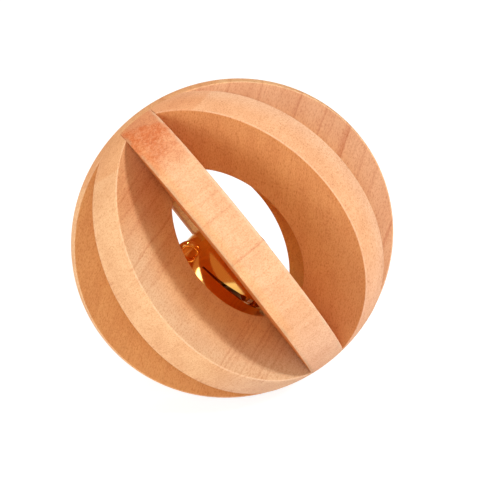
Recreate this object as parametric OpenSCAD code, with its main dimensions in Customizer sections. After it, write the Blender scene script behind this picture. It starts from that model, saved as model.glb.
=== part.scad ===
// Openwork wooden ball with a loose jingle bell inside.
//
// One full ring and six half rings of solid beech stand like spokes round
// one common axis, 45 degrees apart. The full ring runs through both poles.
// A half ring butts on each of its faces, and four more are cut to a point
// and fill the corners. The glued blank is turned to a ball that is a little
// flatter towards its two poles. Every ring has a round hole, so the middle
// of the ball is a cage, and a stamped metal bell with a steel pellet in it
// lies loose in that cage.
//
// The axis of the ball leans in the XZ plane, and the origin is the centre
// of the ball. The lowest gap between two rings points straight down.

/* [Ball] */
// Diameter across the equator
ball_d = 60; // [40:1:90]
// Height from pole to pole as a share of the diameter
flat_ratio = 0.96; // [0.9:0.005:1]
// Lean of the ball's axis away from upright
ball_lean = 39; // [0:1:90]

/* [Rings] */
// Thickness of the wood
ring_t = 7.2; // [4:0.1:10]
// Diameter of the hole in every ring
hole_d = 33.2; // [20:0.2:42]
// How far the full ring was glued off the centre
full_off = 0.9; // [0:0.1:1.5]
// How far the half rings on its faces were glued off the centre
half_off = 0.8; // [0:0.1:1.5]
// How far those half rings were glued out of square
half_angle = 1.6; // [0:0.1:3]

/* [Bell] */
// Diameter of the bell
bell_d = 18.8; // [12:0.1:20]
// Thickness of the sheet metal
bell_wall = 0.5; // [0.3:0.05:1]
// Width of the slots between the petals at their upper end
slot_top_w = 0.3; // [0.2:0.1:1]
// Width of the slots half way up the bell
slot_mid_w = 1.1; // [0.5:0.1:2]
// Width of the slots at the mouth
slot_low_w = 1.6; // [1:0.1:3]
// Height of the closed cap above the slots
slot_cap_h = 1; // [0.6:0.1:3]
// Lean of the bell's loop away from upright
bell_lean = 54; // [0:1:180]
// Heading of the bell's loop
bell_heading = 224; // [0:1:360]
// Turn of the bell about its own loop
bell_turn = -15; // [-90:1:90]

/* [Loop and pellet] */
// Diameter of the loop's wire
wire_d = 1.1; // [0.6:0.1:1.4]
// Width of the loop, between the middles of its legs
loop_w = 3; // [2:0.1:5]
// Height of the loop's legs above the shell
loop_leg_h = 1; // [0:0.1:3]
// Diameter of the clinched feet inside the shell
foot_d = 1.8; // [1.2:0.1:2.4]
// Height of the clinched feet
foot_h = 0.9; // [0.4:0.1:1.5]
// How far the feet are bent outwards
foot_out = 0.2; // [0:0.1:0.4]
// Diameter of the steel pellet
pellet_d = 6; // [3:0.5:8]

/* [Quality] */
// Sides of the round forms
quality = 96; // [48:8:160]

/* [Hidden] */
$fn = quality;
ball_r = ball_d / 2;
hole_r = hole_d / 2;
bell_r = bell_d / 2;
inner_r = bell_r - bell_wall;
wire_r = wire_d / 2;
pellet_r = pellet_d / 2;
first = 22.5;
big = ball_d;
play = 0.3;
pellet_play = 0.1;
profile_step = 3;
slot_top_z = bell_r - slot_cap_h;

// The bell lies on the holes of the two lowest rings.
drop = (hole_r - bell_r - play)
    / norm([sin(ball_lean) * cos(first), cos(ball_lean)]);
bell_x = -1.2;
bell_pos = [bell_x, 0, -sqrt(drop * drop - bell_x * bell_x)];

// Headings of the pieces about the ball's axis
front = -3 * first;
back = front + 180;
across = front + 90;

wood = [0.90, 0.68, 0.47];
gold = [0.83, 0.60, 0.22];
steel = [0.70, 0.70, 0.72];

// The ball as turned: half an ellipse, spun about the axis
module turned_ball() {
    rotate_extrude()
        polygon([for (a = [-90 : profile_step : 90])
            [ball_r * cos(a), flat_ratio * ball_r * sin(a)]]);
}

// A board through the ball at a heading, glued off to one side
module board(heading, off) {
    rotate([0, 0, heading])
        translate([-big, off - ring_t / 2, -big])
            cube([2 * big, ring_t, 2 * big]);
}

// Half of such a board, on the heading's side of the axis
module half_board(heading, off) {
    rotate([0, 0, heading])
        translate([0, off - ring_t / 2, -big])
            cube([big, ring_t, 2 * big]);
}

// The round hole, bored square through a board
module ring_hole(heading) {
    rotate([0, 0, heading])
        rotate([90, 0, 0])
            cylinder(h = 2 * big, r = hole_r, center = true);
}

module full_board() {
    board(across, -full_off);
}

// The two half rings on the full ring's faces lie in one board's place.
module half_ring_board() {
    board(front + half_angle, -half_off);
}

module set_down() {
    rotate([0, -ball_lean, 0])
        children();
}

module full_ring() {
    color(wood)
        set_down()
            difference() {
                intersection() {
                    turned_ball();
                    full_board();
                }
                ring_hole(across);
            }
}

// Half a ring that butts on a face of the full ring
module half_ring(heading, off) {
    color(wood)
        set_down()
            difference() {
                intersection() {
                    turned_ball();
                    half_board(heading, off);
                }
                ring_hole(heading);
                full_board();
            }
}

// Half a ring that is cut to a point and fills the corner between the
// full ring and a half ring
module corner_half(heading) {
    color(wood)
        set_down()
            difference() {
                intersection() {
                    turned_ball();
                    half_board(heading, 0);
                }
                ring_hole(heading);
                full_board();
                half_ring_board();
            }
}

module set_bell() {
    translate(bell_pos)
        rotate([0, bell_lean, bell_heading])
            rotate([0, 0, bell_turn])
                children();
}

// A slot that widens towards the mouth, right across the bell
module slot() {
    rotate([90, 0, 90])
        linear_extrude(height = 2 * bell_d, center = true)
            polygon([
                [-slot_top_w / 2, slot_top_z],
                [slot_top_w / 2, slot_top_z],
                [slot_mid_w / 2, 0],
                [slot_low_w / 2, -bell_r],
                [slot_low_w / 2, -bell_d],
                [-slot_low_w / 2, -bell_d],
                [-slot_low_w / 2, -bell_r],
                [-slot_mid_w / 2, 0]]);
}

module bell_shell() {
    color(gold)
        set_bell()
            difference() {
                sphere(r = bell_r);
                sphere(r = inner_r);
                slot();
                rotate([0, 0, 90])
                    slot();
                for (side = [-1, 1])
                    translate([side * loop_w / 2, 0, 0])
                        cylinder(h = bell_d, r = wire_r);
            }
}

// A wire staple, clinched on the inside of the shell
module bell_loop() {
    arch_z = bell_r + loop_leg_h;
    foot_z = sqrt(inner_r * inner_r - loop_w * loop_w / 4) - foot_h;
    color(gold)
        set_bell() {
            translate([0, 0, arch_z])
                rotate([90, 0, 0])
                    intersection() {
                        rotate_extrude()
                            translate([loop_w / 2, 0])
                                circle(r = wire_r, $fn = 32);
                        translate([-bell_d, 0, -bell_d])
                            cube(2 * bell_d);
                    }
            for (side = [-1, 1])
                translate([side * loop_w / 2, 0, foot_z])
                    cylinder(h = arch_z - foot_z, r = wire_r);
            intersection() {
                sphere(r = inner_r);
                for (side = [-1, 1])
                    translate([side * (loop_w / 2 + foot_out), 0, foot_z])
                        cylinder(h = 2 * foot_h, r = foot_d / 2);
            }
        }
}

module bell_pellet() {
    color(steel)
        translate(bell_pos + [0, 0, -(inner_r - pellet_r - pellet_play)])
            sphere(r = pellet_r);
}

full_ring();
half_ring(front + half_angle, -half_off);  // half_ring_front
half_ring(back + half_angle, half_off);  // half_ring_back
corner_half(front + 45);  // corner_half_front_right
corner_half(front - 45);  // corner_half_front_left
corner_half(front + 135);  // corner_half_back_right
corner_half(front - 135);  // corner_half_back_left
bell_shell();
bell_loop();
bell_pellet();
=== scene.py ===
# %% [markdown]
# # A wooden ball of crossed rings with a jingle bell inside
#
# The real object is a toy made of seven thin pieces of beech, glued round one
# axis and turned to a ball on a lathe. A stamped metal bell lies loose in the
# cage. The CAD model fixes every size and place. Here each piece is rebuilt
# with soft edges and a real finish, in the same frame.

# %% Load the frame
import math

import bmesh
import bpy
from mathutils import Matrix, Vector


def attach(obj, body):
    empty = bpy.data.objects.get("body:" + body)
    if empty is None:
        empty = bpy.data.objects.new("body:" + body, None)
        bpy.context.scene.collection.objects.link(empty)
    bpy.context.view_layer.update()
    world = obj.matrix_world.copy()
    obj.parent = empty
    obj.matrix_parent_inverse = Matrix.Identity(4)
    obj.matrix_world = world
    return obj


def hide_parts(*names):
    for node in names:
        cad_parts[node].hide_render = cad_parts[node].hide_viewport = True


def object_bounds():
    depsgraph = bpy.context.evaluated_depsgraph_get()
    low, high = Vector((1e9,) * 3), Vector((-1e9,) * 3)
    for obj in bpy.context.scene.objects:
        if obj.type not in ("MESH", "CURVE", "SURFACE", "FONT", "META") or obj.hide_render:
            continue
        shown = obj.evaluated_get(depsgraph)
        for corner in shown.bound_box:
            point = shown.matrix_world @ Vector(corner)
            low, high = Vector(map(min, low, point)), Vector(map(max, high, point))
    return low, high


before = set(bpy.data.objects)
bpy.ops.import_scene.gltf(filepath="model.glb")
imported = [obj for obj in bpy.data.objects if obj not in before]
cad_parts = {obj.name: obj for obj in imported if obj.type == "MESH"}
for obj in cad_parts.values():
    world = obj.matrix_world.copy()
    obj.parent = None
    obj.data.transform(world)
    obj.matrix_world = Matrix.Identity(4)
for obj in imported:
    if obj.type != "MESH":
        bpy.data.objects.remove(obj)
cad_lo, cad_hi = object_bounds()
scene = bpy.context.scene
print("nodes:", sorted(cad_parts))
print("CAD box in mm:", [round(v * 1000, 2) for v in (*cad_lo, *cad_hi)])

# %% [markdown]
# ## Sizes
#
# The sizes are in millimetres, as on the drawing, and are turned to metres
# only when a mesh is finished. A board has its own frame: u runs from the
# ball's axis outwards, v runs along the axis, and w runs through the board's
# thickness.

# %% Sizes of the ball
MM = 0.001
BALL_R = 30.0
BALL_FLAT = 0.96
HOLE_R = 16.6
BOARD_T = 7.2
HALF_T = BOARD_T / 2
LEAN = math.radians(39)
SET_DOWN = Matrix.Rotation(-LEAN, 4, "Y")


def board_frame(heading):
    """Turn a board's u, v, w into the ball's frame, before it is set down."""
    return (Matrix.Rotation(math.radians(heading), 4, "Z")
            @ Matrix.Rotation(math.radians(90), 4, "X"))


def across(heading):
    """The direction at a right angle to a heading, in the ball's frame."""
    turn = math.radians(heading + 90)
    return Vector((math.cos(turn), math.sin(turn), 0))


# How the full ring and the two half rings on its faces were glued: the
# heading of each board in degrees, and how far it lies off the ball's axis
FULL_HEADING = 22.5
FULL_OFF = -0.9
HALF_HEADING = -65.9
HALF_OFF = -0.8
print("board thickness:", BOARD_T, "mm")

# %% [markdown]
# ## Making objects
#
# A mesh is built around the board's own frame, moved to its place, scaled to
# metres and given to an object that stays at the origin. Edges that turn by
# more than 35 degrees stay sharp. A Weighted Normal modifier keeps the wide
# faces flat and lets only the narrow rounded edges shade round.

# %% Finish a mesh
SHARP = math.radians(35)


def finish_mesh(bm, name, place, material, node):
    """Place a bmesh, make it an object with its material, hang it on the root body and
    hide the CAD node it stands for.
    """
    bmesh.ops.transform(bm, matrix=Matrix.Scale(MM, 4) @ place, verts=bm.verts)
    for face in bm.faces:
        face.smooth = True
    for edge in bm.edges:
        if len(edge.link_faces) == 2 and edge.calc_face_angle(0) > SHARP:
            edge.smooth = False
    mesh = bpy.data.meshes.new(name)
    bm.to_mesh(mesh)
    bm.free()
    obj = bpy.data.objects.new(name, mesh)
    scene.collection.objects.link(obj)
    mesh.materials.append(material)
    normals = obj.modifiers.new("flat_faces", "WEIGHTED_NORMAL")
    normals.keep_sharp = True
    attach(obj, "root")
    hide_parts(node)
    print(name, "faces:", len(mesh.polygons))


# %% [markdown]
# ## Adding material nodes
#
# Colours are written as sRGB hex, as a paint chart gives them, and Blender
# wants linear numbers, so one function turns them. Another adds a node with
# its settings and links in one line.

# %% Colour and node helpers
def colour(hex_value):
    """Turn an sRGB hex colour to linear RGBA."""
    parts = [int(hex_value[i:i + 2], 16) / 255 for i in (1, 3, 5)]
    linear = [c / 12.92 if c <= 0.04045 else ((c + 0.055) / 1.055) ** 2.4
              for c in parts]
    return (*linear, 1)


def add_node(tree, kind, inputs=None, **settings):
    """Add a node, set its properties, and fill or link its inputs."""
    node = tree.nodes.new("ShaderNode" + kind)
    for key, value in settings.items():
        setattr(node, key, value)
    for key, value in (inputs or {}).items():
        if isinstance(value, bpy.types.NodeSocket):
            tree.links.new(value, node.inputs[key])
        else:
            node.inputs[key].default_value = value
    return node


def new_material(name):
    """A material with an empty tree, and its Principled shader."""
    material = bpy.data.materials.new(name)
    material.use_nodes = True
    tree = material.node_tree
    tree.nodes.clear()
    shader = add_node(tree, "BsdfPrincipled")
    output = add_node(tree, "OutputMaterial")
    tree.links.new(shader.outputs["BSDF"], output.inputs["Surface"])
    return material, tree, shader


print("white is", colour("#FFFFFF")[:3])

# %% [markdown]
# ## Bare beech
#
# The rings are beech, sawn, glued, turned and sanded, with no finish on it.
# Beech is pale pink to orange, with thin dark growth lines, short flecks a
# millimetre or two long, and fine fibres. The pattern is solid: it is worked
# out in the board's own frame, so it runs through from a face to a rim as in
# real wood.

# %% Node helpers for the wood
def maths(tree, operation, a, b=0.0, c=0.0, clamp=False):
    """One Math node; each input is a number or a socket."""
    node = add_node(tree, "Math", {0: a, 1: b, 2: c}, operation=operation,
                    use_clamp=clamp)
    return node.outputs[0]


def ramp(tree, value, low, high, to_low=0.0, to_high=1.0):
    """A smooth step of a value between two limits."""
    node = add_node(tree, "MapRange", {
        "Value": value, "From Min": low, "From Max": high,
        "To Min": to_low, "To Max": to_high}, interpolation_type="SMOOTHSTEP")
    return node.outputs["Result"]


def mix_rgba(tree, factor, first, second, mode="MIX"):
    """Mix two colours; the sockets go by place, as their names repeat."""
    return add_node(tree, "Mix", {0: factor, 6: first, 7: second},
                    data_type="RGBA", blend_type=mode).outputs[2]


def mix_value(tree, factor, first, second):
    """Blend two numbers."""
    return add_node(tree, "Mix", {0: factor, 2: first, 3: second},
                    data_type="FLOAT").outputs[0]


def parts_of(tree, vector):
    """The three numbers of a vector."""
    return add_node(tree, "SeparateXYZ", {0: vector}).outputs


def radius(tree, place, stretch):
    """How far a place lies from the centre, along stretched axes."""
    scaled = add_node(tree, "VectorMath", {0: place, 1: stretch},
                      operation="MULTIPLY")
    return add_node(tree, "VectorMath", {0: scaled.outputs[0]},
                    operation="LENGTH").outputs["Value"]


def noise(tree, place, stretch, detail=2.0, roughness=0.55):
    """Smooth noise about 0.5, with one patch per millimetre over stretch."""
    scaled = add_node(tree, "Mapping", {"Vector": place, "Scale": stretch})
    return add_node(tree, "TexNoise", {
        "Vector": scaled.outputs[0], "Scale": 1.0, "Detail": detail,
        "Roughness": roughness}).outputs["Fac"]


def flecks(tree, place, stretch, share):
    """Short spindles of another tone, in a share of the cells of a pattern."""
    scaled = add_node(tree, "Mapping", {"Vector": place, "Scale": stretch})
    cells = add_node(tree, "TexVoronoi", {
        "Vector": scaled.outputs[0], "Scale": 1.0, "Randomness": 1.0})
    pick = parts_of(tree, cells.outputs["Color"])[0]
    return maths(tree, "MULTIPLY",
                 ramp(tree, cells.outputs["Distance"], 0.5, 0.15),
                 ramp(tree, pick, 1 - share, 1.25 - share))


# %% [markdown]
# ### Where a board changes its tone
#
# Each pair below says where one look begins and where the next is complete, in
# millimetres of the board's own frame.

# %% Limits on a board
RIM_LIMITS = (BALL_R - 0.25, BALL_R - 0.1)
HOLE_LIMITS = (HOLE_R + 0.15, HOLE_R + 0.05)
OUTER_FACE_SHADE_LIMITS = (19, 28.5)
UPPER_FACE_SHADE_LIMITS = (10, 20)
FAR_FACE_SHADE_LIMITS = (-8, 8)
FAR_LINE_LIMITS = (-5, 5)
LOW_RIM_LIMITS = (-24, -12)
CAP_SHADE_LIMITS = (24.25, 24.55)
# Growth lines may show only towards the long edges of a rim
RIM_LINE_LIMITS = (1.6, 3.2)
LINE_EDGE = 0.2
WEAR_AND_SHEEN_INSET = 0.12
SHEEN_SIDE_LIMITS = (-1, 1)
# The stain ends at a slanting edge, and both its limits wander with the mottle
STAIN_SLOPE = 1.16
STAIN_EDGE_WANDER = 4.0
STAIN_EDGE_LIMITS = (11.1, 12.7)
STAIN_END_WANDER = 9.0
STAIN_END_LIMITS = (22, 30)
PAST_STAIN_LIMITS = (20, 24)
print("the stain begins past v =", STAIN_END_LIMITS[0] - STAIN_END_WANDER)

# %% [markdown]
# ### The layers of the wood
#
# The tone comes first, with painted light and shade in it, then the stain, the
# patterns of the grain, the growth lines, and last the worn edges with a painted
# highlight. Each layer takes the tone so far and gives back the next.

# %% Layers of the wood
def grain_patterns(tree, board, looks):
    """Every pattern of a board's grain, by name."""
    # The grain's own frame: x along the fibres, y across the growth rings
    turned = add_node(tree, "Mapping", {
        "Vector": board, "Rotation": (0, 0, math.radians(-looks["grain"]))
    }).outputs[0]
    place = add_node(tree, "Mapping", {
        "Vector": turned, "Location": (looks["seed"], 0, 0)}).outputs[0]
    wander = noise(tree, place, (0.06, 0.12, 0.10))
    level = maths(tree, "ADD", parts_of(tree, turned)[1],
                  maths(tree, "MULTIPLY_ADD", wander, looks["wander"],
                        -looks["wander"] / 2))
    ring_place = add_node(tree, "CombineXYZ", {
        0: looks["seed"], 1: level}).outputs[0]
    return {
        "level": level,
        "year_rings": noise(tree, ring_place, (1, 0.9, 1), 4.0, 0.7),
        "fibres": noise(tree, place, (0.25, 2.6, 1.6), 3.0, 0.6),
        "pores": noise(tree, place, (2.2, 4.2, 4.2), 2.0, 0.7),
        "mottle": noise(tree, place, (0.12, 0.22, 0.22), 3.0),
        "flecks": flecks(tree, place, looks["fleck_size"],
                         looks["fleck_share"]),
    }


def wood_tone_with_painted_light(tree, board, side, on_rim, looks):
    """The tone of the sawn faces, the turned rim and the bored hole, with painted light
    and shade in it.
    """
    u, v, _ = parts_of(tree, board)
    ball_radius = radius(tree, board, (1, 1 / BALL_FLAT, 1))
    in_hole = ramp(tree, radius(tree, board, (1, 1, 0)), *HOLE_LIMITS)
    # Painted shade: past the middle a face may take a deeper orange, for the shadow of the
    # rings in front of it
    face = mix_rgba(tree, ramp(tree, u, *FAR_FACE_SHADE_LIMITS),
                    colour(looks["face_far_painted_shade"] or looks["face"]),
                    colour(looks["face"]))
    # Painted shade: towards the middle of the ball the faces turn a deeper orange, for the
    # shade inside the cage
    face = mix_rgba(tree, ramp(tree, ball_radius, *OUTER_FACE_SHADE_LIMITS),
                    colour(looks["face_in_painted_shade"]), face)
    # Painted shade: towards the top a face is multiplied by the upper tone; on the front
    # left corner half a deeper orange, for the front half ring's shadow there
    face = mix_rgba(tree, ramp(tree, v, *UPPER_FACE_SHADE_LIMITS), face,
                    colour(looks["upper"]), "MULTIPLY")
    # Painted light: towards one side the rim may take a warmer tone, for warm light
    # falling along that edge
    rim = mix_rgba(tree, ramp(tree, side, *looks["rim_side_painted_glow_limits"]),
                   colour(looks["rim"]),
                   colour(looks["rim_side_painted_glow"] or looks["rim"]))
    rim = mix_rgba(tree, ramp(tree, v, *LOW_RIM_LIMITS),
                   colour(looks["rim_low"]), rim)
    tone = mix_rgba(tree, on_rim, face, rim)
    # Painted light: the bore is brighter and more orange than the bare wood, for the warm
    # light inside the cage
    tone = mix_rgba(tree, in_hole, tone, colour(looks["hole"]))
    # Painted shade: past a line round the upper pole the rim is a little darker, as a
    # flatter cap there would be shaded
    cap_shade = maths(tree, "MULTIPLY", on_rim, ramp(tree, v, *CAP_SHADE_LIMITS))
    return mix_rgba(tree, cap_shade, tone, colour(looks["pole_cap_shade"]), "MULTIPLY")


def add_stain(tree, tone, board, on_rim, grain, looks):
    """A stain at the upper end of the rim, and the duller wood past it."""
    u, v, w = parts_of(tree, board)
    edge = maths(tree, "MULTIPLY_ADD", w, STAIN_SLOPE, u)
    edge = maths(tree, "MULTIPLY_ADD", grain["mottle"], STAIN_EDGE_WANDER,
                 edge)
    end = maths(tree, "MULTIPLY_ADD", grain["mottle"], STAIN_END_WANDER, v)
    stain = maths(tree, "MULTIPLY", on_rim,
                  ramp(tree, edge, *STAIN_EDGE_LIMITS))
    stain = maths(tree, "MULTIPLY", stain, ramp(tree, end, *STAIN_END_LIMITS))
    stain = maths(tree, "MULTIPLY", stain,
                  ramp(tree, grain["fibres"], 0.35, 0.62, 0.55, 1))
    past = maths(tree, "MULTIPLY", on_rim,
                 ramp(tree, edge, *reversed(STAIN_EDGE_LIMITS)))
    past = maths(tree, "MULTIPLY", past, ramp(tree, v, *PAST_STAIN_LIMITS))
    tone = mix_rgba(tree, stain, tone, colour(looks["stain"]), "MULTIPLY")
    return mix_rgba(tree, past, tone, colour(looks["past_stain"]), "MULTIPLY")


def add_patterns(tree, tone, grain, looks):
    """Darken the tone along each pattern of the grain."""
    dark = colour(looks["dark"])
    for name, low, high in (("year_rings", 0.42, 0.68), ("fibres", 0.4, 0.75),
                            ("pores", 0.42, 0.72), ("mottle", 0.38, 0.65)):
        share = ramp(tree, grain[name], low, high, 0, looks[name])
        tone = mix_rgba(tree, share, tone, dark, "MULTIPLY")
    share = maths(tree, "MULTIPLY", grain["flecks"], looks["flecks"])
    return mix_rgba(tree, share, tone, dark, "MULTIPLY")


def growth_lines(tree, level, lines):
    """Dark lines at given levels, sharp on one side, fading on the other."""
    total = 0.0
    for place, strength, fade in lines:
        off = maths(tree, "SUBTRACT", level, place)
        rise = maths(tree, "MULTIPLY_ADD", off, 1 / LINE_EDGE, 1.0)
        fall = maths(tree, "MULTIPLY_ADD", off, -1 / fade, 1.0)
        line = maths(tree, "MINIMUM", rise, fall, clamp=True)
        line = maths(tree, "MULTIPLY", line, strength)
        total = maths(tree, "MAXIMUM", total, line)
    return total


def add_lines(tree, tone, board, off_middle, on_rim, grain, looks):
    """The growth lines, fainter on the far side and along the rim's middle."""
    u = parts_of(tree, board)[0]
    lines = maths(tree, "MULTIPLY",
                  growth_lines(tree, grain["level"], looks["lines"]),
                  ramp(tree, u, *FAR_LINE_LIMITS, looks["far_lines"], 1))
    rim_share = ramp(tree, off_middle, *RIM_LINE_LIMITS, looks["rim_lines"], 1)
    lines = mix_value(tree, on_rim, lines,
                      maths(tree, "MULTIPLY", lines, rim_share))
    return mix_rgba(tree, lines, tone, colour(looks["line"]), "MULTIPLY")


def add_wear_and_sheen_edges(tree, tone, side, off_middle, on_rim, grain, looks):
    """Sanding wear and a painted highlight: the long edges of the rim take another tone,
    in patches.
    """
    wear_and_sheen = ramp(tree, off_middle, HALF_T - looks["wear_and_sheen_width"],
                HALF_T - WEAR_AND_SHEEN_INSET, 0, looks["wear_and_sheen"])
    wear_and_sheen = maths(tree, "MULTIPLY", on_rim, wear_and_sheen)
    wear_and_sheen = maths(tree, "MULTIPLY", wear_and_sheen,
                 ramp(tree, grain["mottle"], 0.35, 0.6))
    # Painted sheen: on one side the edge may take its own tone; on the front half ring a
    # grey-beige, for the white surroundings caught on that edge
    wear_and_sheen_tone = mix_rgba(tree, ramp(tree, side, *SHEEN_SIDE_LIMITS),
                         colour(looks["edge"]),
                         colour(looks["edge_side_painted_sheen"] or looks["edge"]))
    return mix_rgba(tree, wear_and_sheen, tone, wear_and_sheen_tone)


# %% Put the wood together
def beech(name, heading, middle, looks):
    """Bare sanded beech for one board."""
    material, tree, shader = new_material(name)
    turn = (SET_DOWN @ board_frame(heading)).to_euler()
    coords = add_node(tree, "TexCoord")
    board = add_node(tree, "Mapping", {
        "Vector": coords.outputs["Object"], "Rotation": turn,
        "Scale": (MM, MM, MM)}, vector_type="TEXTURE").outputs[0]
    on_rim = ramp(tree, radius(tree, board, (1, 1 / BALL_FLAT, 1)),
                  *RIM_LIMITS)
    side = maths(tree, "ADD", parts_of(tree, board)[2], -middle)
    off_middle = maths(tree, "ABSOLUTE", side)
    grain = grain_patterns(tree, board, looks)

    tone = wood_tone_with_painted_light(tree, board, side, on_rim, looks)
    if looks["stain"]:
        tone = add_stain(tree, tone, board, on_rim, grain, looks)
    tone = add_patterns(tree, tone, grain, looks)
    tone = add_lines(tree, tone, board, off_middle, on_rim, grain, looks)
    tone = add_wear_and_sheen_edges(tree, tone, side, off_middle, on_rim, grain, looks)
    tree.links.new(tone, shader.inputs["Base Color"])

    height = maths(tree, "SUBTRACT",
                   maths(tree, "ADD", grain["fibres"], grain["pores"]),
                   grain["flecks"])
    bump = add_node(tree, "Bump", {
        "Strength": 0.4, "Distance": 0.02 * MM, "Height": height})
    tree.links.new(bump.outputs["Normal"], shader.inputs["Normal"])
    tree.links.new(ramp(tree, grain["pores"], 0.2, 0.8, 0.62, 0.74),
                   shader.inputs["Roughness"])
    shader.inputs["IOR"].default_value = 1.45
    shader.inputs["Specular IOR Level"].default_value = 0.25
    return material


print("beech is ready")

# %% [markdown]
# ### The looks of each board
#
# `PLAIN` is the look of any board, and `LOOKS` says what is particular to one.
# `grain` is the angle between the fibres and the board's outward direction,
# and `seed` picks another part of the noise. `year_rings`, `fibres`, `pores`,
# `mottle` and `flecks` say how strongly each pattern darkens the wood. Each
# growth line has its place across the grain, its strength and the width over
# which it fades. A tone left empty is not used.
# Some tones are painted light and shade: the inner, far and upper face tones and the cap
# tone are painted shade, the bore and rim side tones are painted warm light, and the edge
# tones are sanding wear with a painted highlight.

# %% Looks of each board
PLAIN = {
    "grain": 0.0, "seed": 0, "wander": 1.6,
    "year_rings": 0.12, "fibres": 0.12, "pores": 0.42, "mottle": 0.14,
    "flecks": 0.25, "fleck_size": (1.1, 3.2, 2.4), "fleck_share": 0.35,
    "lines": [], "far_lines": 1.0, "rim_lines": 1.0,
    "line": "#DDAE98", "dark": "#CF8C56",
    "face": "#F0B57C", "face_in_painted_shade": "#EDAC66", "face_far_painted_shade": "",
    "upper": "#FFFFFF", "hole": "#FFBC62",
    "rim": "#F8C699", "rim_low": "#FDD0B0", "rim_side_painted_glow": "",
    "rim_side_painted_glow_limits": (-3, 3), "pole_cap_shade": "#FAEEE6",
    "stain": "", "past_stain": "#F7E4DC",
    "wear_and_sheen": 0.25, "wear_and_sheen_width": 0.3, "edge": "#EFD5B4", "edge_side_painted_sheen": ""}
LOOKS = {
    "full_ring": {
        "grain": 33.0, "seed": 40, "wander": 2.4, "far_lines": 0.15,
        # Painted shade: the far half of the full ring's face is a deeper orange, for the
        # shadow of the front left corner half
        "face": "#E8B58C", "face_far_painted_shade": "#E5A668", "rim": "#F9CB99",
        "lines": [(-3.1, 0.45, 0.4), (-8.3, 0.45, 0.4), (-10.2, 0.25, 0.8),
                  (-13.5, 0.6, 1.4), (-17.8, 0.35, 0.5), (-20.7, 0.2, 0.6),
                  (-26.2, 0.55, 0.4), (4.0, 0.3, 0.5), (9.5, 0.35, 0.5),
                  (14.8, 0.3, 0.5), (20.1, 0.35, 0.6)]},
    "half_ring_front": {
        # Painted shade: the side faces of the front half ring are a deep orange all over,
        # for the shade between the rings
        "wander": 0.5, "face": "#D08448", "face_in_painted_shade": "#D08448",
        # Painted light: a warmer band along one long edge of the rim
        "rim": "#F6C59A", "rim_low": "#FCD0AE", "rim_side_painted_glow": "#F6C08E",
        "rim_side_painted_glow_limits": (1.4, 2.6), "stain": "#F0BA9C",
        # Painted sheen: a grey-beige edge on one side, for the white surroundings caught
        # there
        "wear_and_sheen": 0.6, "wear_and_sheen_width": 0.8, "edge_side_painted_sheen": "#CDA47E",
        "lines": [(0.7, 0.55, 0.4), (8.8, 0.3, 0.5), (12.0, 0.15, 1.2),
                  (-6.5, 0.12, 1.0), (18.5, 0.12, 0.8)]},
    "half_ring_back": {
        # Painted light: a paler bore, for the light from behind the ball that reaches it
        "grain": 10.0, "seed": 80, "hole": "#FFDC94",
        "lines": [(3.0, 0.4, 0.8), (8.1, 0.5, 1.0), (-6.4, 0.4, 0.9),
                  (-15.2, 0.5, 1.2)]},
    "corner_half_front_right": {
        "grain": 40.0, "seed": 120, "year_rings": 0.06, "flecks": 0.35,
        "fleck_share": 0.5, "face": "#E7A569", "face_in_painted_shade": "#E9A662",
        "rim": "#F9CDA8", "rim_low": "#FDCBA6", "rim_side_painted_glow": "#F8C396",
        "rim_side_painted_glow_limits": (-3.6, 1.5)},
    "corner_half_front_left": {
        "grain": -7.6, "seed": 160, "year_rings": 0.06, "rim_lines": 0.2,
        # Painted shade: the pale face deepens to orange inwards and towards the top, for
        # the shade inside the cage and the front half ring's shadow
        "face": "#E9C49A", "face_in_painted_shade": "#E6A96A", "upper": "#F7DCC6",
        "rim": "#F8CA9A", "rim_low": "#FAD6B4", "wear_and_sheen": 0.4,
        "lines": [(13.4, 0.45, 0.5), (11.4, 0.35, 0.5), (10.7, 0.2, 0.6),
                  (8.8, 0.2, 0.5), (24.0, 0.2, 0.5), (22.2, 0.3, 0.5),
                  (20.0, 0.25, 0.5), (17.2, 0.2, 0.6), (-9.9, 0.45, 0.4),
                  (-10.8, 0.4, 0.4), (-11.8, 0.3, 0.5), (-13.9, 0.35, 0.5),
                  (-14.9, 0.3, 0.4), (-16.8, 0.35, 0.5), (-18.2, 0.3, 0.6)]},
    "corner_half_back_right": {
        "grain": 5.0, "seed": 200,
        "lines": [(-4.2, 0.4, 0.8), (1.9, 0.5, 0.9), (6.6, 0.3, 0.8),
                  (15.5, 0.4, 1.0)]},
    "corner_half_back_left": {
        "grain": -5.0, "seed": 240,
        "lines": [(-12.2, 0.4, 0.8), (-3.1, 0.5, 0.9), (9.9, 0.3, 0.8)]},
}
print("boards:", len(LOOKS))

# %% [markdown]
# ## The rings
#
# Each ring starts as one circle. It is scaled to the turned surface at the
# back of the board and drawn through the thickness row by row, so it bulges
# with the ball. The rows then step down to the bored hole and come back. The
# last row is bridged to the first, and half rings are cut with flat planes
# where they butt on their neighbours.

# %% Build a ring
SEGMENTS = 192
EDGE_R = 0.22
EDGE_STEPS = 3
CROWN_ROWS = 5
WELD = 0.002


def rounded_rows(low, high, inner_rows):
    """Places through a board, and how far the sanded edge sets each in."""
    turns = [math.pi / 2 * i / EDGE_STEPS for i in range(EDGE_STEPS + 1)]
    rows = [(low + EDGE_R * (1 - math.cos(t)), EDGE_R * (1 - math.sin(t)))
            for t in turns]
    span = high - low - 2 * EDGE_R
    rows += [(low + EDGE_R + span * i / (inner_rows + 1), 0)
             for i in range(1, inner_rows + 1)]
    rows += [(high - EDGE_R * (1 - math.cos(t)), EDGE_R * (1 - math.sin(t)))
             for t in reversed(turns)]
    return rows


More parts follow.
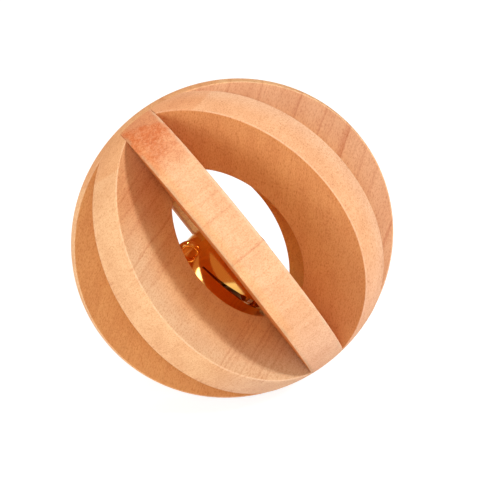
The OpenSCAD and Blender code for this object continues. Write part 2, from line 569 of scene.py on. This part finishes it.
def ring_rows(low, high):
    """Every row of the ring: w, half width in u, half width in v."""
    rows = []
    for w, inset in rounded_rows(low, high, CROWN_ROWS):
        reach = math.sqrt(BALL_R ** 2 - w * w)
        rows.append((w, reach - inset, BALL_FLAT * reach - inset))
    for w, inset in reversed(rounded_rows(low, high, 0)):
        rows.append((w, HOLE_R + inset, HOLE_R + inset))
    return rows


def ring_mesh(low, high):
    """A whole ring in its board's frame."""
    bm = bmesh.new()
    rows = ring_rows(low, high)
    w, half_u, half_v = rows[0]
    made = bmesh.ops.create_circle(bm, cap_ends=False, radius=1,
                                   segments=SEGMENTS)
    bmesh.ops.scale(bm, vec=(half_u, half_v, 1), verts=made["verts"])
    bmesh.ops.translate(bm, vec=(0, 0, w), verts=made["verts"])
    first = list(bm.edges)
    edges = first
    for (w0, u0, v0), (w1, u1, v1) in zip(rows, rows[1:]):
        out = bmesh.ops.extrude_edge_only(bm, edges=edges)["geom"]
        verts = [g for g in out if isinstance(g, bmesh.types.BMVert)]
        edges = [g for g in out if isinstance(g, bmesh.types.BMEdge)
                 and all(end in verts for end in g.verts)]
        bmesh.ops.scale(bm, vec=(u1 / u0, v1 / v0, 1), verts=verts)
        bmesh.ops.translate(bm, vec=(0, 0, w1 - w0), verts=verts)
    bmesh.ops.bridge_loops(bm, edges=first + edges)
    return bm


def everything(bm):
    """All that a mesh is made of, for a cut right through it."""
    return list(bm.verts) + list(bm.edges) + list(bm.faces)


def cut(bm, heading, offset, side):
    """Cut flat at a board's face; side +1 keeps what is beyond, -1 before."""
    normal = across(heading)
    out = bmesh.ops.bisect_plane(
        bm, geom=everything(bm), plane_co=normal * offset,
        plane_no=normal * -side, clear_outer=True)
    edges = [g for g in out["geom_cut"] if isinstance(g, bmesh.types.BMEdge)]
    bmesh.ops.edgeloop_fill(bm, edges=edges)


# %% Glue up the seven pieces
# Each cut is a heading, an offset and the side that is kept. Each board is a
# heading, the offset of its middle and the cuts that shape its ends.
BEYOND_FULL = (FULL_HEADING, FULL_OFF + HALF_T, 1)
BEFORE_FULL = (FULL_HEADING, FULL_OFF - HALF_T, -1)
RIGHT_OF_HALF = (HALF_HEADING, HALF_OFF + HALF_T, 1)
LEFT_OF_HALF = (HALF_HEADING, HALF_OFF - HALF_T, -1)
BOARDS = {
    "full_ring": (FULL_HEADING, -FULL_OFF, []),
    "half_ring_front": (HALF_HEADING, -HALF_OFF, [BEFORE_FULL]),
    "half_ring_back": (HALF_HEADING + 180, HALF_OFF, [BEYOND_FULL]),
    "corner_half_front_right": (-22.5, 0, [BEFORE_FULL, RIGHT_OF_HALF]),
    "corner_half_front_left": (-112.5, 0, [BEFORE_FULL, LEFT_OF_HALF]),
    "corner_half_back_right": (67.5, 0, [BEYOND_FULL, RIGHT_OF_HALF]),
    "corner_half_back_left": (157.5, 0, [BEYOND_FULL, LEFT_OF_HALF]),
}
for name, (heading, middle, cuts) in BOARDS.items():
    bm = ring_mesh(middle - HALF_T, middle + HALF_T)
    bmesh.ops.transform(bm, matrix=board_frame(heading), verts=bm.verts)
    for plane in cuts:
        cut(bm, *plane)
    bmesh.ops.remove_doubles(bm, verts=bm.verts, dist=WELD)
    bmesh.ops.recalc_face_normals(bm, faces=bm.faces)
    wood = beech("bare_beech_" + name, heading, middle,
                 {**PLAIN, **LOOKS[name]})
    finish_mesh(bm, name + "_turned", SET_DOWN, wood, name)

# %% [markdown]
# ## The bell's metals
#
# The bell is stamped from thin steel sheet and plated a bright gold colour,
# so its finish is a mirror: metallic 1 and a low roughness, with only faint
# dents from the press, about 5 mm apart. The pellet is plain steel with a
# fine mill scale.

# %% Bell metals
DENT_SIZE = 5
DENT_DEPTH = 0.12
SCALE_SIZE = 0.6


def plated_gold():
    """Bright gold-coloured plating on stamped sheet."""
    material, tree, shader = new_material("plated_stamped_steel")
    coords = add_node(tree, "TexCoord")
    dents = add_node(tree, "TexNoise", {
        "Vector": coords.outputs["Object"], "Scale": 1 / (DENT_SIZE * MM),
        "Detail": 2.0}).outputs["Fac"]
    bump = add_node(tree, "Bump", {
        "Strength": 0.3, "Distance": DENT_DEPTH * MM, "Height": dents})
    shader.inputs["Base Color"].default_value = colour("#F8C06A")
    shader.inputs["Metallic"].default_value = 1.0
    shader.inputs["Roughness"].default_value = 0.13
    tree.links.new(bump.outputs["Normal"], shader.inputs["Normal"])
    return material


def pressed_steel():
    """Plain pressed steel for the pellet."""
    material, tree, shader = new_material("pressed_steel")
    coords = add_node(tree, "TexCoord")
    scale = add_node(tree, "TexNoise", {
        "Vector": coords.outputs["Object"], "Scale": 1 / (SCALE_SIZE * MM),
        "Detail": 4.0}).outputs["Fac"]
    shader.inputs["Base Color"].default_value = colour("#B9BABC")
    shader.inputs["Metallic"].default_value = 1.0
    tree.links.new(ramp(tree, scale, 0.3, 0.7, 0.28, 0.42),
                   shader.inputs["Roughness"])
    return material


gold = plated_gold()
steel = pressed_steel()
print("metals:", gold.name, steel.name)

# %% [markdown]
# ## The bell
#
# The shell is one sphere of sheet. Two slots cross at the mouth and run up
# between the petals, so the sphere is cut along both sides of each slot, the
# strip between is taken out, and the sheet is given its thickness inwards. The
# weld is fine: a wider one would close narrow faces beside the slots and leave
# the mesh open there.

# %% Sizes of the bell
BELL_R = 9.4
SHEET = 0.5
INNER_R = BELL_R - SHEET
SLOT_TOP = 8.4
# Half the slot's width at three heights in the bell, from the top down
SLOT_HALF = ((SLOT_TOP, 0.15), (0.0, 0.55), (-BELL_R, 0.8))
# The bell lies with a little play in the holes of the two lowest rings, which
# stand half a step of 45 degrees to each side of the way down
PLAY = 0.3
LOW_RING_TURN = math.radians(22.5)
drop = ((HOLE_R - BELL_R - PLAY)
        / math.hypot(math.sin(LEAN) * math.cos(LOW_RING_TURN),
                     math.cos(LEAN)))
BELL_X = -1.2
bell_middle = Vector((BELL_X, 0, -math.sqrt(drop ** 2 - BELL_X ** 2)))
BELL_HEADING = math.radians(224)
BELL_LEAN = math.radians(54)
BELL_TURN = math.radians(-15)
BELL_PLACE = (Matrix.Translation(bell_middle)
              @ Matrix.Rotation(BELL_HEADING, 4, "Z")
              @ Matrix.Rotation(BELL_LEAN, 4, "Y")
              @ Matrix.Rotation(BELL_TURN, 4, "Z"))
print("bell middle in mm:", [round(v, 3) for v in bell_middle])


# %% Build the shell
def slot_half_width(z):
    """Half the slot's width at a height in the bell."""
    (z0, h0), (z1, h1), (z2, h2) = SLOT_HALF
    if z > z1:
        return h1 + (h0 - h1) * (z - z1) / (z0 - z1)
    return h1 + (h2 - h1) * (z - z1) / (z2 - z1)


ON_PLANE = 1e-5
SHELL_WELD = 0.001
bm = bmesh.new()
bmesh.ops.create_uvsphere(bm, u_segments=144, v_segments=96, radius=BELL_R)
for height in (SLOT_TOP, 0.0):
    bmesh.ops.bisect_plane(bm, geom=everything(bm), plane_co=(0, 0, height),
                           plane_no=(0, 0, 1), dist=ON_PLANE)
for turn in (0, 90):
    turned = Matrix.Rotation(math.radians(turn), 3, "Z")
    for side in (-1, 1):
        for (z0, h0), (z1, h1) in zip(SLOT_HALF, SLOT_HALF[1:]):
            along = Vector((0, side * (h0 - h1), z0 - z1))
            normal = along.cross(Vector((1, 0, 0)))
            bmesh.ops.bisect_plane(
                bm, geom=everything(bm), dist=ON_PLANE,
                plane_co=turned @ Vector((0, side * h0, z0)),
                plane_no=turned @ normal.normalized())
waste = []
for face in bm.faces:
    middle = face.calc_center_median()
    if middle.z < SLOT_TOP:
        half = slot_half_width(middle.z)
        if min(abs(middle.x), abs(middle.y)) < half:
            waste.append(face)
bmesh.ops.delete(bm, geom=waste, context="FACES")
bmesh.ops.remove_doubles(bm, verts=bm.verts, dist=SHELL_WELD)
bmesh.ops.recalc_face_normals(bm, faces=bm.faces)
bmesh.ops.solidify(bm, geom=list(bm.faces), thickness=SHEET)
radii = [v.co.length for v in bm.verts]
print("shell between radii", round(min(radii), 3), round(max(radii), 3), "mm")
finish_mesh(bm, "bell_shell_stamped", BELL_PLACE, gold,
            "bell_shell")

# %% [markdown]
# ## The loop and the pellet
#
# The loop is a staple of round wire. A circle is drawn up one leg, spun half
# a turn over the arch, and drawn down the other leg, where the feet are
# spread inside the shell. The pellet is a pressed steel ball with a faint
# seam round its middle.

# %% Build the loop
WIRE_R = 0.55
LOOP_HALF = 1.5
LEG_H = 1.0
FOOT_H = 0.9
FOOT_TOP_H = 0.5
FOOT_STEP = 0.2
FOOT_SPREAD = 1.5
ARCH_Z = BELL_R + LEG_H
FOOT_Z = math.sqrt(INNER_R ** 2 - LOOP_HALF ** 2) - FOOT_H


def extrude_ring(bm, edges, vec, grow=1.0, centre=Vector()):
    """Draw an open ring of edges on, and widen it about a centre."""
    out = bmesh.ops.extrude_edge_only(bm, edges=edges)["geom"]
    verts = [g for g in out if isinstance(g, bmesh.types.BMVert)]
    bmesh.ops.translate(bm, vec=vec, verts=verts)
    bmesh.ops.scale(bm, vec=(grow, grow, 1), verts=verts,
                    space=Matrix.Translation(-centre))
    return [g for g in out if isinstance(g, bmesh.types.BMEdge)
            and all(end in verts for end in g.verts)]


bm = bmesh.new()
made = bmesh.ops.create_circle(bm, cap_ends=False, radius=WIRE_R, segments=24)
bmesh.ops.translate(bm, vec=(LOOP_HALF, 0, ARCH_Z), verts=made["verts"])
start = list(bm.edges)
spun = bmesh.ops.spin(bm, geom=start, cent=(0, 0, ARCH_Z), axis=(0, 1, 0),
                      angle=-math.pi, steps=24, use_duplicate=False)
end = [g for g in spun["geom_last"] if isinstance(g, bmesh.types.BMEdge)]
for ring, side in ((start, 1), (end, -1)):
    centre = Vector((side * LOOP_HALF, 0, 0))
    ring = extrude_ring(bm, ring, (0, 0, FOOT_Z + FOOT_TOP_H - ARCH_Z))
    ring = extrude_ring(bm, ring, (0, 0, -FOOT_STEP), FOOT_SPREAD, centre)
    ring = extrude_ring(bm, ring, (0, 0, -FOOT_STEP))
    bmesh.ops.edgeloop_fill(bm, edges=ring)
bmesh.ops.recalc_face_normals(bm, faces=bm.faces)
finish_mesh(bm, "bell_loop_wire", BELL_PLACE, gold,
            "bell_loop")

# %% Build the pellet
PELLET_R = 3.0
PELLET_PLAY = 0.1
SEAM = 0.985
bm = bmesh.new()
bmesh.ops.create_uvsphere(bm, u_segments=48, v_segments=32, radius=PELLET_R)
seam = [v for v in bm.verts if abs(v.co.z) < 0.01]
bmesh.ops.scale(bm, vec=(SEAM, SEAM, 1), verts=seam)
pellet_place = Matrix.Translation(
    bell_middle + Vector((0, 0, -(INNER_R - PELLET_R - PELLET_PLAY))))
finish_mesh(bm, "bell_pellet_pressed", pellet_place, steel,
            "bell_pellet")

# %% [markdown]
# ## Camera
#
# A long lens from a little above, as for a small object on a table, shifted a
# little so that the ball lies where it should in the frame.

# %% Camera
CAMERA_DISTANCE = 0.468
camera_side = Vector((0.191, -0.919, 0.345)).normalized()
camera_data = bpy.data.cameras.new("camera")
camera_data.lens = 191.07
camera_data.sensor_width = 36
camera_data.clip_start = 0.01
camera_data.clip_end = 20
camera_data.shift_x = 0.0165
camera_data.shift_y = -0.0042
camera = bpy.data.objects.new("camera", camera_data)
camera.location = camera_side * CAMERA_DISTANCE
camera.rotation_euler = camera_side.to_track_quat("Z", "Y").to_euler()
scene.collection.objects.link(camera)
scene.camera = camera
print("camera at", [round(v, 3) for v in camera.location])

# %% [markdown]
# ## Light
#
# A small soft lamp to the right of the camera gives the clear shadows between
# the rings. A wider one low on the left opens them up, one over the camera
# reaches into the cage, one behind the ball lights the rims at its top, and a
# pale warm world fills the rest. A lamp at level 1 lights a white surface that
# faces it to just white, whatever its distance.
#
# Only the bell is a mirror. Mirror rays see a warm brown room in place of the
# pale world, and the lamps over the camera and behind the ball are hidden from
# them, since they would stand in the metal as hard white spots.

# %% Lamps and world
WORLD_LEVEL = 0.45
WORLD_TINT = "#FFEACC"
MIRROR_LEVEL = 0.8
MIRROR_TINT = "#D48F5E"
WHITE = "#FFFFFF"
LAMP_COLOUR = "#F8FBFF"
HIDDEN_FROM_MIRRORS = ("front_lamp", "back_lamp")
# Where each lamp stands, its distance and size in metres, and its level
LAMPS = {
    "key_lamp": ((0.633, -0.459, 0.624), 0.6, 0.08, 0.49),
    "fill_lamp": ((-0.70, -0.70, 0.16), 0.9, 0.48, 0.34),
    "front_lamp": ((0.15, -0.90, 0.40), 0.9, 0.24, 0.20),
    "back_lamp": ((-0.60, 0.38, 0.71), 0.9, 0.50, 0.24),
}
for name, (side, distance, size, lamp_level) in LAMPS.items():
    side = Vector(side).normalized()
    data = bpy.data.lights.new(name, "AREA")
    data.shape = "DISK"
    data.size = size
    data.energy = lamp_level * math.pi ** 2 * distance ** 2
    data.color = colour(LAMP_COLOUR)[:3]
    lamp = bpy.data.objects.new(name, data)
    lamp.location = side * distance
    lamp.rotation_euler = side.to_track_quat("Z", "Y").to_euler()
    lamp.visible_glossy = name not in HIDDEN_FROM_MIRRORS
    scene.collection.objects.link(lamp)
    print(name, "power:", round(data.energy, 3), "W")

world = bpy.data.worlds.new("studio")
scene.world = world
world.use_nodes = True
sky = world.node_tree
sky.nodes.clear()
path = add_node(sky, "LightPath").outputs
backdrop_seen = maths(sky, "MAXIMUM", path["Is Camera Ray"],
                      path["Is Transmission Ray"])
strength = maths(sky, "MULTIPLY_ADD", path["Is Glossy Ray"],
                 MIRROR_LEVEL - WORLD_LEVEL, WORLD_LEVEL)
strength = maths(sky, "MAXIMUM", strength, backdrop_seen)
tint = mix_rgba(sky, path["Is Glossy Ray"], colour(WORLD_TINT),
                colour(MIRROR_TINT))
tint = mix_rgba(sky, backdrop_seen, tint, colour(WHITE))
backdrop = add_node(sky, "Background", {"Color": tint, "Strength": strength})
sky_out = add_node(sky, "OutputWorld")
sky.links.new(backdrop.outputs[0], sky_out.inputs["Surface"])
print("world level:", WORLD_LEVEL, "and in mirrors:", MIRROR_LEVEL)

# %% [markdown]
# ## Floor
#
# A plain white sheet that the ball lies on. To the camera it is a grey sheet
# with a strong white glow, so it runs into the white backdrop and still shows
# a little of the ball's shadow. To all other rays it is white paper. From
# below it is clear, so that the ball can be looked at from there too.

# %% Floor
FLOOR_SIZE = 3
FLOOR_GLOW = 0.88
FLOOR_GREY = (0.3, 0.3, 0.3, 1)
floor_material = bpy.data.materials.new("white_paper")
floor_material.use_nodes = True
paper = floor_material.node_tree
paper.nodes.clear()
sheet = add_node(paper, "BsdfDiffuse", {"Color": colour("#F4F4F4")})
shown = add_node(paper, "BsdfDiffuse", {"Color": FLOOR_GREY})
glow = add_node(paper, "Emission", {
    "Color": colour(WHITE), "Strength": FLOOR_GLOW})
lit = add_node(paper, "AddShader", {0: shown.outputs[0], 1: glow.outputs[0]})
path = add_node(paper, "LightPath")
either = add_node(paper, "MixShader", {
    0: path.outputs["Is Camera Ray"], 1: sheet.outputs[0], 2: lit.outputs[0]})
clear = add_node(paper, "BsdfTransparent")
side = add_node(paper, "NewGeometry")
floor_mix = add_node(paper, "MixShader", {
    0: side.outputs["Backfacing"], 1: either.outputs[0], 2: clear.outputs[0]})
floor_out = add_node(paper, "OutputMaterial")
paper.links.new(floor_mix.outputs[0], floor_out.inputs["Surface"])

bm = bmesh.new()
bmesh.ops.create_grid(bm, x_segments=1, y_segments=1, size=FLOOR_SIZE)
bmesh.ops.translate(bm, vec=(0, 0, cad_lo.z), verts=bm.verts)
floor_mesh = bpy.data.meshes.new("floor")
bm.to_mesh(floor_mesh)
bm.free()
floor_mesh.materials.append(floor_material)
floor = bpy.data.objects.new("floor", floor_mesh)
scene.collection.objects.link(floor)
print("floor at", round(cad_lo.z * 1000, 3), "mm")

# %% [markdown]
# ## Finish
#
# The colours are shown as they are.

# %% Finish
scene.view_settings.view_transform = "Standard"
